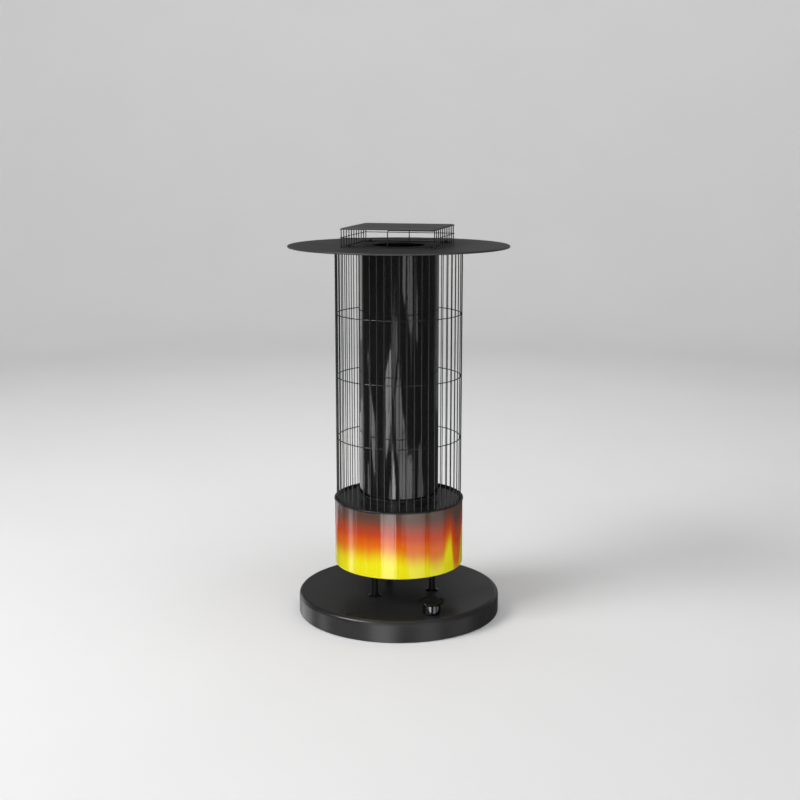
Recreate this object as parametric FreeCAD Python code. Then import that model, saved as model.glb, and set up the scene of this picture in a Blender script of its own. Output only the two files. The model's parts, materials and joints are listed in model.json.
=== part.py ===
import FreeCAD, Part
import math
import os

# Quartz heater: a weighted round base on rubber feet, three hollow legs, a printed drum,
# a smoked glass tube over three quartz elements inside a wire cage, and a wide deflector
# disc that carries a square flue guard.
# Lengths are in millimetres and angles in degrees. The origin is on the floor at the
# middle of the base, +Z is up and -Y is the front. Angles are counted from +X towards +Y.

Vector = FreeCAD.Vector
os.makedirs("parts", exist_ok=True)

# Allowances shared by all pieces
overrun = 2.0
assembly_gap = 0.3
running_gap = 0.05
touch_gap = 0.1

# Base cover, base plate, feet and ballast
base_radius = 149.0
base_height = 31.0
base_edge_round = 6.0
base_wall = 1.6
base_floor_gap = 1.0
base_plate_thickness = 2.0
base_plate_inset = 2.0
foot_radius = 10.0
foot_round = 1.0
foot_edge_distance = 24.0
foot_count = 4
foot_angle = 45.0
boss_radius = 4.5
boss_edge_distance = 12.0
boss_count = 4
boss_angle = 20.0
ballast_width = 34.0
ballast_thickness = 10.0
ballast_screw_count = 3
ballast_screw_angle = 90.0
base_screw_radius = 2.0
base_screw_length = 8.0
base_screw_head_radius = 3.6
base_screw_head_height = 1.7

# Power inlet in the rear wall of the base
inlet_width = 27.0
inlet_height = 19.4
inlet_depth = 18.0
inlet_wall = 1.3
inlet_floor = 3.0
inlet_flange_margin = 1.2
inlet_flange_thickness = 2.0
pin_width = 2.0
pin_height = 4.0
pin_reach = 9.0
pin_tail = 5.0
pin_pitch = 7.0
pin_earth_rise = 3.0

# Knob, its shaft and the rotary switch
knob_edge_distance = 28.7
knob_angle = -53.6
knob_top_radius = 18.4
knob_foot_radius = 13.4
knob_foot_round = 2.4
knob_height = 18.0
knob_floor_gap = 0.5
knob_rim_depth = 2.2
knob_rim_bevel = 1.2
knob_neck_drop = 2.0
knob_edge_round = 0.3
knob_rim_width = 1.6
knob_cap_thickness = 1.6
knob_web = 3.0
shaft_radius = 3.0
rotor_radius = 10.0
rotor_thickness = 4.0
switch_radius = 14.0
switch_height = 12.0
switch_wall = 2.0
switch_bush_radius = 5.0
switch_nut_width = 12.0
switch_nut_height = 2.4
switch_bush_stub = 0.6

# Tip-over switch: a sprung plunger under the base lifts a lever
tip_edge_distance = 24.0
plunger_radius = 3.0
plunger_travel = 2.5
plunger_nose_round = 1.2
plunger_collar_radius = 4.6
plunger_collar_height = 1.2
plunger_bush_radius = 5.0
plunger_bush_flange_radius = 6.5
plunger_bush_flange_thickness = 1.0
plunger_bush_stand = 0.8
spring_wire_radius = 0.3
spring_mean_radius = 3.9
spring_pitch = 1.5
shelf_thickness = 1.0
shelf_reach = 12.0
shelf_half_width = 5.5
bracket_thickness = 1.5
shelf_overhang = 6.0
bracket_inboard_reach = 26.0
bracket_foot_width = 9.0
lever_thickness = 0.6
lever_width = 4.0
lever_arm = 19.0
lever_tip = 3.0
lever_barrel_radius = 1.2
lever_pin_radius = 0.6
tip_switch_height = 6.0
tip_switch_width = 6.4
tip_switch_end = 3.0
tip_switch_ear = 0.9
ballast_clearance = 1.0

# Legs
leg_length = 45.0
leg_radius = 4.65
leg_thread_radius = 3.5
leg_thread_length = 7.0
leg_bore_radius = 2.4
leg_circle_radius = 51.1
leg_names = ("leg_right", "leg_rear", "leg_front")
leg_flange_radius = 9.7
leg_flange_thickness = 2.8
leg_flange_edge = 1.0
leg_nut_width = 11.0
leg_nut_height = 4.0

# Drum
drum_radius = 94.5
drum_wall = 1.2
drum_height = 96.0
drum_edge_round = 0.5
drum_floor_recess = 1.0
drum_floor_thickness = 1.5
drum_floor_upstand = 8.0
vent_count = 18
vent_width = 5.0
vent_inner_radius = 62.0
vent_outer_radius = 76.0
lid_thickness = 1.5
lid_drop = 0.5
lid_opening_margin = 1.0
rim_overhang = 1.0
rim_height = 2.5
rim_round = 1.1
tie_rod_radius = 2.5
tie_rod_edge_distance = 10.0
tie_rod_count = 3
tie_rod_angle = 60.0
tie_nut_width = 8.0
tie_nut_height = 3.2
tie_rod_stub = 0.8
terminal_length = 64.0
terminal_width = 18.0
terminal_height = 26.0
terminal_pitch = 12.0
terminal_step = 5.0
cutout_radius = 8.0
cutout_height = 6.0
cutout_flange_radius = 11.0
cutout_flange_thickness = 1.0
cutout_circle_radius = 68.0
cutout_angle = 0.0

# Glass tube, its lower seat and its upper ring
tube_radius = 58.2
tube_wall = 3.5
tube_length = 358.2
tube_edge_round = 0.8
seat_ledge_reach = 4.2
seat_height = 8.0
seat_wall = 2.5
seat_foot_thickness = 1.5
seat_foot_reach = 9.0
seat_ledge = 1.5
spigot_length = 8.0
spigot_gap = 1.0
gasket_thickness = 1.0
upper_ring_flange = 1.5
upper_ring_lip = 2.7
upper_ring_margin = 2.0

# Quartz elements, their plates and the reflector between them
element_count = 3
element_angle = 90.0
element_circle_share = 0.55
element_radius = 6.5
element_wall = 1.2
element_length = 312.0
coil_mean_radius = 4.2
coil_wire_radius = 0.6
coil_turns = 24
coil_end_inset = 4.0
ceramic_radius = 9.0
ceramic_height = 14.0
ceramic_floor = 6.0
ceramic_hole_radius = 1.6
lower_plate_thickness = 3.0
upper_plate_thickness = 2.0
upper_plate_margin = 2.0
plate_vent_radius = 8.0
plate_vent_offset = 4.0
reflector_reach_share = 0.8
reflector_hollow_share = 0.46
reflector_bore_share = 0.3
centre_rod_radius = 3.0
rod_nut_width = 10.0
rod_nut_height = 5.0
rod_stub = 2.0

# Leads
lead_radius = 1.2
lead_bend = 10.0
cable_radius = 1.8
cable_bend = 4.0
cable_rise = 20.0
cable_drop = 5.3
inlet_lead_step = 14.0
lead_climb_share = 0.3
lead_swing_share = 0.7
plunger_lead_share = 0.5

# Wire cage
cage_radius = 91.4
cage_wire_radius = 0.65
cage_wire_count = 54
cage_first_angle = 4.0
cage_first_ring = 93.5
cage_ring_pitch = 91.0
cage_ring_count = 3
lug_width = 14.0
lug_thickness = 2.0
lug_inner_margin = 6.0

# Deflector disc
deflector_radius = 159.2
deflector_thickness = 2.5
deflector_edge_round = 0.8
flue_radius = 37.3
disc_screw_spacing = 115.6
disc_screw_radius = 1.6
disc_screw_head_radius = 2.8
disc_screw_head_height = 2.2
disc_screw_stub = 1.0

# Flue guard
guard_side = 132.8
guard_wire_radius = 0.7
guard_rail_radius = 0.55
guard_front_bend = 3.0
guard_rise = 25.3
guard_middle_share = 0.53
guard_post_count = 11
guard_plate_thickness = 1.5
guard_plate_margin = 0.55
guard_plate_round = 3.0
tab_width = 10.0
tab_thickness = 1.2
tab_inner_margin = 6.0

# Heights worked out from the lengths above
plate_low = base_floor_gap + base_plate_inset
plate_top = plate_low + base_plate_thickness
base_ceiling = base_height - base_wall
drum_floor_low = base_height + leg_length
drum_floor_top = drum_floor_low + drum_floor_thickness
drum_low = drum_floor_low - drum_floor_recess
drum_top = drum_low + drum_height
drum_inner_radius = drum_radius - drum_wall
lid_top = drum_top - lid_drop
lid_low = lid_top - lid_thickness
seat_radius = tube_radius - seat_ledge_reach
seat_foot_inner = seat_radius - seat_foot_reach
lid_opening_radius = seat_foot_inner - lid_opening_margin
seat_top = lid_top + seat_height
ledge_top = seat_top + seat_ledge
tube_low = ledge_top + gasket_thickness
tube_top = tube_low + tube_length
tube_inner_radius = tube_radius - tube_wall
spigot_radius = tube_inner_radius - spigot_gap
spigot_inner_radius = spigot_radius - seat_wall
element_circle_radius = tube_inner_radius * element_circle_share
reflector_reach = element_circle_radius * reflector_reach_share
reflector_hollow_radius = element_circle_radius * reflector_hollow_share
reflector_bore_radius = element_circle_radius * reflector_bore_share
plate_vent_circle_radius = element_circle_radius + plate_vent_offset
upper_ring_low = tube_top + gasket_thickness
deflector_low = upper_ring_low + upper_ring_flange
deflector_top = deflector_low + deflector_thickness
lower_plate_low = lid_top + seat_foot_thickness
lower_plate_top = lower_plate_low + lower_plate_thickness
element_low = lower_plate_top + ceramic_floor
element_top = element_low + element_length
upper_plate_low = element_top + ceramic_floor
upper_plate_top = upper_plate_low + upper_plate_thickness
knob_low = base_height + knob_floor_gap
knob_top = base_height + knob_height
knob_cap_low = knob_top - knob_cap_thickness
shaft_top = knob_cap_low - knob_web
guard_half = guard_side / 2
rail_bend = guard_wire_radius + guard_rail_radius
rail_half = guard_half + rail_bend + touch_gap
guard_plate_low = deflector_top + guard_rise
disc_screw_half = disc_screw_spacing / 2
disc_screw_circle = disc_screw_half * math.sqrt(2)
inlet_middle = base_floor_gap + (base_height - base_edge_round - base_floor_gap) / 2

# The tip-over switch hangs from the ceiling of the base and its plunger stands on the floor
tip_x = tip_edge_distance - base_radius
tip_switch_top = base_ceiling - assembly_gap
tip_switch_low = tip_switch_top - tip_switch_height
lever_low = tip_switch_low - assembly_gap - lever_thickness
plunger_top = lever_low - assembly_gap
shelf_low = plunger_top - plunger_travel - 2 * assembly_gap - shelf_thickness
plunger_bush_top = plate_top + plunger_bush_stand
collar_low = plunger_bush_top + plunger_travel + assembly_gap
collar_top = collar_low + plunger_collar_height
lever_hinge_x = tip_x + lever_arm
lever_hinge_z = lever_low + lever_barrel_radius - assembly_gap
ballast_outer_radius = base_radius - tip_edge_distance - bracket_inboard_reach - ballast_clearance
ballast_inner_radius = ballast_outer_radius - ballast_width
ballast_screw_circle = (ballast_inner_radius + ballast_outer_radius) / 2
lead_level = base_ceiling - leg_nut_height - cable_drop


def polar(radius, angle, z=0):
    """A point at a radius and an angle round the axis of the heater."""
    turn = math.radians(angle)
    return Vector(radius * math.cos(turn), radius * math.sin(turn), z)


def around(count, radius, first_angle):
    """Evenly spaced points round the axis of the heater."""
    return [polar(radius, first_angle + 360 * step / count) for step in range(count)]


knob_place = polar(base_radius - knob_edge_distance, knob_angle)
foot_places = around(foot_count, base_radius - foot_edge_distance, foot_angle)
boss_places = around(boss_count, base_radius - boss_edge_distance, boss_angle)
ballast_screw_places = around(ballast_screw_count, ballast_screw_circle, ballast_screw_angle)
leg_places = around(len(leg_names), leg_circle_radius, 0)
tie_rod_places = around(tie_rod_count, drum_inner_radius - tie_rod_edge_distance, tie_rod_angle)
element_places = around(element_count, element_circle_radius, element_angle)
disc_screw_places = around(4, disc_screw_circle, 45)
pin_places = (
    (-pin_pitch, -pin_earth_rise),
    (pin_pitch, -pin_earth_rise),
    (0, pin_earth_rise),
)


def cylinder(radius, low, high, place=Vector()):
    """An upright cylinder between two heights."""
    return Part.makeCylinder(radius, high - low, Vector(place.x, place.y, low))


def drill(radius, low, high, place=Vector()):
    """A cutting cylinder that runs past both of the faces it goes through."""
    return cylinder(radius, low - overrun, high + overrun, place)


def ring(outer, inner, low, high, place=Vector()):
    """An upright tube between two heights."""
    return cylinder(outer, low, high, place).cut(drill(inner, low, high, place))


def block(x_low, x_high, y_low, y_high, z_low, z_high):
    """A square block between two corners."""
    corner = Vector(x_low, y_low, z_low)
    return Part.makeBox(x_high - x_low, y_high - y_low, z_high - z_low, corner)


def turned(outline):
    """A solid of revolution from a closed outline of radius and height pairs."""
    points = [Vector(radius, 0, height) for radius, height in outline]
    face = Part.Face(Part.makePolygon(points + points[:1]))
    return face.revolve(Vector(), Vector(0, 0, 1), 360)


def hexagon(width, low, high, place=Vector()):
    """A hexagonal prism of a given width across its flats."""
    corner = width / math.sqrt(3)
    points = [polar(corner, 60 * step, low) + Vector(place.x, place.y, 0) for step in range(7)]
    return Part.Face(Part.makePolygon(points)).extrude(Vector(0, 0, high - low))


def nut(width, bore, low, high, place=Vector()):
    """A hexagonal nut with a plain bore."""
    return hexagon(width, low, high, place).cut(drill(bore, low, high, place))


def rim_edges(shape, radius, height):
    """The round edges of a shape at a radius and a height."""
    found = []
    for edge in shape.Edges:
        if hasattr(edge.Curve, "Radius") and abs(edge.Curve.Radius - radius) < touch_gap:
            if abs(edge.BoundBox.ZMin - height) < touch_gap and edge.BoundBox.ZLength < touch_gap:
                found.append(edge)
    return found


def rounded(shape, radius, edge_radius, height):
    """Round over the edge that lies at a radius and a height."""
    return shape.makeFillet(radius, rim_edges(shape, edge_radius, height))


def cut_all(shape, tools):
    """Cut a list of solids from a shape."""
    return shape.cut(Part.makeCompound(tools))


def fused(shapes):
    """Join overlapping solids into one."""
    return shapes[0].fuse(shapes[1:]).removeSplitter()


def strip(width, inner, outer, low, high, angle):
    """A flat bar that points outwards at an angle, between two radii."""
    bar = block(inner, outer, -width / 2, width / 2, low, high)
    return bar.rotate(Vector(), Vector(0, 0, 1), angle)


def wire_through(points, bend):
    """A path of straight runs joined by tangent arcs of one radius."""
    edges = []
    start = points[0]
    for before, corner, after in zip(points, points[1:], points[2:]):
        back = (before - corner).normalize()
        ahead = (after - corner).normalize()
        half_turn = (math.pi - back.getAngle(ahead)) / 2
        tangent = bend * math.tan(half_turn)
        inward = (back + ahead).normalize()
        middle = corner + inward * (bend / math.cos(half_turn) - bend)
        arc_start = corner + back * tangent
        arc_end = corner + ahead * tangent
        edges.append(Part.LineSegment(start, arc_start).toShape())
        edges.append(Part.Arc(arc_start, middle, arc_end).toShape())
        start = arc_end
    edges.append(Part.LineSegment(start, points[-1]).toShape())
    return Part.Wire(edges)


def round_bar(path, radius):
    """A round bar or lead along a path."""
    first = path.OrderedEdges[0]
    start = first.valueAt(first.FirstParameter)
    heading = first.tangentAt(first.FirstParameter)
    section = Part.Wire(Part.makeCircle(radius, start, heading))
    return path.makePipeShell([section], True, False)


def arc_from(start, heading, end):
    """The arc that leaves a point along a heading and reaches another point."""
    chord = end - start
    lean = heading.getAngle(chord)
    aside = heading * (chord.Length / 2 / math.cos(lean)) - chord / 2
    bulge = chord.Length / 2 * math.tan(lean / 2)
    return Part.Arc(start, start + chord / 2 + aside.normalize() * bulge, end).toShape()


def helix(radius, pitch, half_turns, low, place):
    """A coiled path made of two tangent arcs for each half turn."""
    slope = pitch / (2 * math.pi * radius)
    level = 1 / math.hypot(1, slope)
    edges = []
    for step in range(half_turns):
        ends = []
        for count in (step, step + 1):
            point = polar(radius, 180 * count, low + pitch * count / 2) + place
            heading = polar(level, 180 * count + 90, slope * level)
            ends.append((point, heading))
        (start, leaving), (end, arriving) = ends
        span = end - start
        spread = 2 * (1 - leaving.dot(arriving))
        along = span.dot(leaving + arriving)
        reach = (math.sqrt(along ** 2 + spread * span.dot(span)) - along) / spread
        middle = (start + leaving * reach + end - arriving * reach) / 2
        edges.append(arc_from(start, leaving, middle))
        edges.append(arc_from(end, arriving * -1, middle))
    return Part.Wire(Part.__sortEdges__(edges))


def base_cover():
    """Deep-drawn cover with bosses, and holes for the legs, the switch and the inlet."""
    inner_round = base_edge_round - base_wall
    inner_radius = base_radius - base_wall
    outside = cylinder(base_radius, base_floor_gap, base_height)
    outside = rounded(outside, base_edge_round, base_radius, base_height)
    inside = cylinder(inner_radius, base_floor_gap - overrun, base_ceiling)
    inside = rounded(inside, inner_round, inner_radius, base_ceiling)
    bosses = [cylinder(boss_radius, plate_top, base_ceiling + base_wall / 2, place) for place in boss_places]
    shell = fused([outside.cut(inside)] + bosses)
    thread = base_screw_radius + touch_gap
    thread_top = plate_top + base_screw_length
    holes = [cylinder(thread, plate_low, thread_top, place) for place in boss_places]
    leg_hole = leg_thread_radius + touch_gap
    holes += [drill(leg_hole, base_ceiling, base_height, place) for place in leg_places]
    bush_hole = switch_bush_radius + touch_gap
    holes.append(drill(bush_hole, base_ceiling, base_height, knob_place))
    holes.append(inlet_block(assembly_gap, base_radius + overrun))
    return cut_all(shell, holes)


def inlet_block(gap, outer_y):
    """The space that the inlet's body takes, widened by a gap."""
    half_width = inlet_width / 2 + gap
    half_height = inlet_height / 2 + gap
    low_y = base_radius - inlet_depth - gap
    low_z = inlet_middle - half_height
    high_z = inlet_middle + half_height
    return block(-half_width, half_width, low_y, outer_y, low_z, high_z)


def base_plate():
    """Round plate that closes the base from below."""
    plate = cylinder(base_radius - base_wall - assembly_gap, plate_low, plate_top)
    screw_hole = base_screw_radius + assembly_gap
    places = boss_places + ballast_screw_places
    holes = [drill(screw_hole, plate_low, plate_top, place) for place in places]
    bush_hole = plunger_bush_radius + touch_gap
    holes.append(drill(bush_hole, plate_low, plate_top, Vector(tip_x, 0, 0)))
    holes.append(inlet_block(assembly_gap, base_radius + overrun))
    return cut_all(plate, holes)


def base_feet():
    """Rubber pads under the base plate."""
    feet = []
    for place in foot_places:
        foot = cylinder(foot_radius, 0, plate_low, place)
        feet.append(rounded(foot, foot_round, foot_radius, 0))
    return Part.makeCompound(feet)


def base_screws():
    """Screws that hold the base plate to the cover and the ballast to the plate."""
    screws = []
    for place in boss_places + ballast_screw_places:
        head = cylinder(base_screw_head_radius, plate_low - base_screw_head_height, plate_low, place)
        shank = cylinder(base_screw_radius, plate_low, plate_low + base_screw_length, place)
        screws.append(fused([head, shank]))
    return Part.makeCompound(screws)


def ballast_ring():
    """Cast ring that keeps the tall heater steady."""
    weight = ring(ballast_outer_radius, ballast_inner_radius, plate_top, plate_top + ballast_thickness)
    thread = base_screw_radius + touch_gap
    thread_top = plate_low + base_screw_length + touch_gap
    holes = [cylinder(thread, plate_top - overrun, thread_top, place) for place in ballast_screw_places]
    return cut_all(weight, holes)


def power_inlet():
    """Appliance inlet: an open box with a flange outside the base wall."""
    outer_y = base_radius + inlet_flange_thickness
    half_width = inlet_width / 2 + inlet_flange_margin
    half_height = inlet_height / 2 + inlet_flange_margin
    flange = block(
        -half_width, half_width, base_radius, outer_y,
        inlet_middle - half_height, inlet_middle + half_height,
    )
    body = fused([inlet_block(0, base_radius), flange])
    hollow_width = inlet_width / 2 - inlet_wall
    hollow_height = inlet_height / 2 - inlet_wall
    hollow = block(
        -hollow_width, hollow_width, base_radius - inlet_depth + inlet_floor, outer_y + overrun,
        inlet_middle - hollow_height, inlet_middle + hollow_height,
    )
    return cut_all(body, [hollow] + inlet_blades(touch_gap))


def inlet_blades(gap):
    """The three flat pins of the inlet, widened by a gap."""
    low_y = base_radius - inlet_depth - pin_tail
    high_y = base_radius - inlet_depth + inlet_floor + pin_reach
    half_width = pin_width / 2 + gap
    half_height = pin_height / 2 + gap
    blades = []
    for x, rise in pin_places:
        middle = inlet_middle + rise
        low_z = middle - half_height
        high_z = middle + half_height
        blades.append(block(x - half_width, x + half_width, low_y, high_y, low_z, high_z))
    return blades


def inlet_pins():
    return Part.makeCompound(inlet_blades(0))


def rotary_switch():
    """Switch body below the cover with the threaded bush that holds it."""
    bush_top = base_height + switch_nut_height + switch_bush_stub
    body = cylinder(switch_radius, base_ceiling - switch_height, base_ceiling, knob_place)
    bush = cylinder(switch_bush_radius, base_ceiling - switch_wall, bush_top, knob_place)
    hollow_radius = switch_radius - switch_wall
    hollow_top = base_ceiling - switch_wall
    hollow = cylinder(hollow_radius, base_ceiling - switch_height - overrun, hollow_top, knob_place)
    bore = cylinder(shaft_radius + running_gap, base_ceiling - switch_height, bush_top + overrun, knob_place)
    return cut_all(fused([body, bush]), [hollow, bore])


def switch_nut():
    bore = switch_bush_radius + touch_gap
    return nut(switch_nut_width, bore, base_height, base_height + switch_nut_height, knob_place)


def knob_shaft():
    """Switch shaft with the rotor that turns inside the switch."""
    rotor_top = base_ceiling - switch_wall - assembly_gap
    rotor_low = rotor_top - rotor_thickness
    rotor = cylinder(rotor_radius, rotor_low, rotor_top, knob_place)
    rod = cylinder(shaft_radius, rotor_low, shaft_top, knob_place)
    return fused([rotor, rod])


def knob():
    """Round knob under a wide bevelled rim, with a seat for its cap and a hollow foot."""
    rim_low = knob_top - knob_rim_depth
    outline = [
        (0, knob_low),
        (knob_foot_radius, knob_low),
        (knob_foot_radius, rim_low - knob_neck_drop),
        (knob_top_radius - knob_rim_bevel, rim_low),
        (knob_top_radius, knob_top),
        (0, knob_top),
    ]
    body = turned(outline)
    body = rounded(body, knob_foot_round, knob_foot_radius, knob_low)
    body = rounded(body, knob_edge_round, knob_top_radius, knob_top)
    body.translate(knob_place)
    cap_seat_radius = knob_top_radius - knob_rim_width
    cap_seat = cylinder(cap_seat_radius, knob_cap_low, knob_top + overrun, knob_place)
    nut_corner = switch_nut_width / math.sqrt(3)
    hollow_top = base_height + switch_nut_height + switch_bush_stub + knob_floor_gap
    hollow = cylinder(nut_corner + assembly_gap, knob_low - overrun, hollow_top, knob_place)
    bore = cylinder(shaft_radius + touch_gap, knob_low, shaft_top + touch_gap, knob_place)
    return cut_all(body, [cap_seat, hollow, bore])


def knob_cap():
    """Dark disc let into the top of the knob."""
    radius = knob_top_radius - knob_rim_width - touch_gap
    return cylinder(radius, knob_cap_low, knob_top, knob_place)


def plunger_bush():
    """Flanged guide of the plunger in the base plate."""
    place = Vector(tip_x, 0, 0)
    flange = cylinder(plunger_bush_flange_radius, plate_low - plunger_bush_flange_thickness, plate_low, place)
    sleeve = cylinder(plunger_bush_radius, plate_low, plunger_bush_top, place)
    bore = cylinder(plunger_radius + running_gap, 0, plunger_bush_top + overrun, place)
    return fused([flange, sleeve]).cut(bore)


def tip_plunger():
    """Plunger that the floor holds up and its spring pushes down."""
    place = Vector(tip_x, 0, 0)
    stem = cylinder(plunger_radius, 0, plunger_top, place)
    stem = rounded(stem, plunger_nose_round, plunger_radius, 0)
    return fused([stem, cylinder(plunger_collar_radius, collar_low, collar_top, place)])


def tip_spring():
    """Coil spring between the plunger's collar and the shelf."""
    low = collar_top + assembly_gap + spring_wire_radius
    high = shelf_low - touch_gap - spring_wire_radius
    half_turns = max(1, int(2 * (high - low) / spring_pitch))
    pitch = 2 * (high - low) / half_turns
    print("spring gap to itself", round(pitch - 2 * spring_wire_radius, 2))
    path = helix(spring_mean_radius, pitch, half_turns, low, Vector(tip_x, 0, 0))
    return round_bar(path, spring_wire_radius)


def tip_switch_bracket():
    """Bent bracket: a foot, an upright behind the switch and a shelf over the spring."""
    start = tip_x + plunger_bush_radius + assembly_gap
    end = tip_x + bracket_inboard_reach
    front = -tip_switch_width / 2 - touch_gap
    back = front - bracket_thickness
    shelf_top = shelf_low + shelf_thickness
    upright = block(start, end, back, front, plate_top, tip_switch_top)
    foot = block(start, end, front - bracket_foot_width, front, plate_top, plate_top + bracket_thickness)
    shelf = block(tip_x - shelf_overhang, tip_x + shelf_reach, back, shelf_half_width, shelf_low, shelf_top)
    place = Vector(tip_x, 0, 0)
    stem_hole = drill(plunger_radius + assembly_gap, shelf_low, shelf_top, place)
    return fused([upright, foot, shelf]).cut(stem_hole)


def across(radius, half_length, x, z):
    """A cylinder that lies along Y."""
    return Part.makeCylinder(radius, 2 * half_length, Vector(x, -half_length, z), Vector(0, 1, 0))


def tip_switch():
    """Small switch, button side down, with two ears that hold the lever's pin."""
    half_width = tip_switch_width / 2
    ear_inner = half_width - tip_switch_ear
    end = lever_hinge_x + tip_switch_end
    notch_low = lever_hinge_z - lever_barrel_radius
    notch_top = lever_hinge_z + lever_barrel_radius + assembly_gap
    notch_start = lever_hinge_x - lever_barrel_radius - assembly_gap
    body = block(tip_x - lever_tip, end, -half_width, half_width, tip_switch_low, tip_switch_top)
    ears = block(notch_start, end, -half_width, half_width, notch_low, notch_top)
    notch = block(notch_start, end + overrun, -ear_inner, ear_inner, notch_low - overrun, notch_top)
    pin = across(lever_pin_radius, half_width, lever_hinge_x, lever_hinge_z)
    return fused([fused([body, ears]).cut(notch), pin])


def tip_lever():
    """Lever with a rolled eye on the switch's pin."""
    half_width = lever_width / 2
    tip = tip_x - lever_tip
    lever_top = lever_low + lever_thickness
    blade = block(tip, lever_hinge_x, -half_width, half_width, lever_low, lever_top)
    barrel = across(lever_barrel_radius, half_width, lever_hinge_x, lever_hinge_z)
    bore = across(lever_pin_radius + running_gap, half_width + overrun, lever_hinge_x, lever_hinge_z)
    return fused([blade, barrel]).cut(bore)


def leg(place):
    """Hollow leg with a shoulder and a threaded end at each end."""
    low = base_height - leg_thread_length
    high = drum_floor_low + leg_thread_length
    body = cylinder(leg_radius, base_height, drum_floor_low, place)
    thread = cylinder(leg_thread_radius, low, high, place)
    return fused([body, thread]).cut(drill(leg_bore_radius, low, high, place))


def leg_flanges():
    """Cone-topped rosettes at the feet of the legs."""
    bore = leg_radius + touch_gap
    outline = [
        (bore, base_height),
        (leg_flange_radius, base_height),
        (leg_flange_radius, base_height + leg_flange_edge),
        (leg_radius + leg_flange_edge, base_height + leg_flange_thickness),
        (bore, base_height + leg_flange_thickness),
    ]
    flanges = []
    for place in leg_places:
        flange = turned(outline)
        flange.translate(place)
        flanges.append(flange)
    return Part.makeCompound(flanges)


def leg_nuts():
    """Nuts on the legs' threads, under the base cover and on the drum floor."""
    bore = leg_thread_radius + touch_gap
    nuts = []
    for place in leg_places:
        nuts.append(nut(leg_nut_width, bore, base_ceiling - leg_nut_height, base_ceiling, place))
        nuts.append(nut(leg_nut_width, bore, drum_floor_top, drum_floor_top + leg_nut_height, place))
    return Part.makeCompound(nuts)


def drum_shell():
    """Rolled wall of the drum, with its edges broken."""
    outside = cylinder(drum_radius, drum_low, drum_top)
    outside = rounded(outside, drum_edge_round, drum_radius, drum_low)
    return outside.cut(drill(drum_inner_radius, drum_low, drum_top))


def drum_floor():
    """Pan with air slots that the legs carry."""
    radius = drum_inner_radius - touch_gap
    pan = cylinder(radius, drum_floor_low, drum_floor_top + drum_floor_upstand)
    hollow_top = drum_floor_top + drum_floor_upstand + overrun
    pan = pan.cut(cylinder(radius - drum_floor_thickness, drum_floor_top, hollow_top))
    low = drum_floor_low - overrun
    high = drum_floor_top + overrun
    holes = [cylinder(leg_thread_radius + touch_gap, low, high, place) for place in leg_places]
    holes += [cylinder(tie_rod_radius + touch_gap, low, high, place) for place in tie_rod_places]
    end_radius = vent_width / 2
    for place in around(vent_count, 1, 0):
        angle = math.degrees(math.atan2(place.y, place.x))
        holes.append(strip(vent_width, vent_inner_radius, vent_outer_radius, low, high, angle))
        holes.append(cylinder(end_radius, low, high, place * vent_inner_radius))
        holes.append(cylinder(end_radius, low, high, place * vent_outer_radius))
    return cut_all(pan, holes)


def drum_lid():
    """Recessed lid with a raised rolled rim that covers the edge of the drum."""
    plate_radius = drum_inner_radius - assembly_gap
    rim_inner = cage_radius + cage_wire_radius + touch_gap
    rim_radius = drum_radius + rim_overhang
    rim_top = drum_top + rim_height
    outline = [
        (lid_opening_radius, lid_low),
        (plate_radius, lid_low),
        (plate_radius, drum_top),
        (rim_radius, drum_top),
        (rim_radius, rim_top),
        (rim_inner, rim_top),
        (rim_inner, lid_top),
        (lid_opening_radius, lid_top),
    ]
    lid = turned(outline)
    edges = rim_edges(lid, rim_radius, rim_top) + rim_edges(lid, rim_inner, rim_top)
    lid = lid.makeFillet(rim_round, edges)
    thread = tie_rod_radius + touch_gap
    thread_top = lid_top - lid_thickness / 2
    threads = [cylinder(thread, lid_low - overrun, thread_top, place) for place in tie_rod_places]
    return cut_all(lid, threads)


def drum_tie_rods():
    """Rods that pull the lid down on to the drum."""
    low = drum_floor_low - tie_nut_height - tie_rod_stub
    rods = [cylinder(tie_rod_radius, low, lid_low, place) for place in tie_rod_places]
    return Part.makeCompound(rods)


def drum_tie_nuts():
    """Nuts at both ends of the tie rods."""
    bore = tie_rod_radius + touch_gap
    nuts = []
    for place in tie_rod_places:
        nuts.append(nut(tie_nut_width, bore, drum_floor_low - tie_nut_height, drum_floor_low, place))
        nuts.append(nut(tie_nut_width, bore, lid_low - tie_nut_height, lid_low, place))
    return Part.makeCompound(nuts)


def terminal_places():
    """Points on top of the terminal block where the element leads start."""
    top = drum_floor_top + terminal_height
    first = -(element_count - 1) / 2
    return [Vector(terminal_pitch * (first + step), 0, top) for step in range(element_count)]


def terminal_block():
    """Ceramic block with a raised middle, on the drum floor."""
    half_length = terminal_length / 2
    half_width = terminal_width / 2
    top = drum_floor_top + terminal_height
    base = block(-half_length, half_length, -half_width, half_width, drum_floor_top, top - terminal_step)
    ridge = block(-half_length, half_length, -half_width / 2, half_width / 2, drum_floor_top, top)
    return fused([base, ridge])


def thermal_cutout():
    """Round cut-out with a flange, fixed under the lid."""
    place = polar(cutout_circle_radius, cutout_angle)
    flange_low = lid_low - cutout_flange_thickness
    flange = cylinder(cutout_flange_radius, flange_low, lid_low, place)
    can = cylinder(cutout_radius, flange_low - cutout_height, flange_low, place)
    return fused([flange, can])


def tube_seat():
    """Collar on the lid with a ledge for the tube and a spigot inside it."""
    foot_top = lid_top + seat_foot_thickness
    outline = [
        (seat_foot_inner, lid_top),
        (seat_radius, lid_top),
        (seat_radius, seat_top),
        (tube_radius, seat_top),
        (tube_radius, ledge_top),
        (spigot_radius, ledge_top),
        (spigot_radius, ledge_top + spigot_length),
        (spigot_inner_radius, ledge_top + spigot_length),
        (spigot_inner_radius, foot_top),
        (seat_foot_inner, foot_top),
    ]
    return turned(outline)


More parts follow.
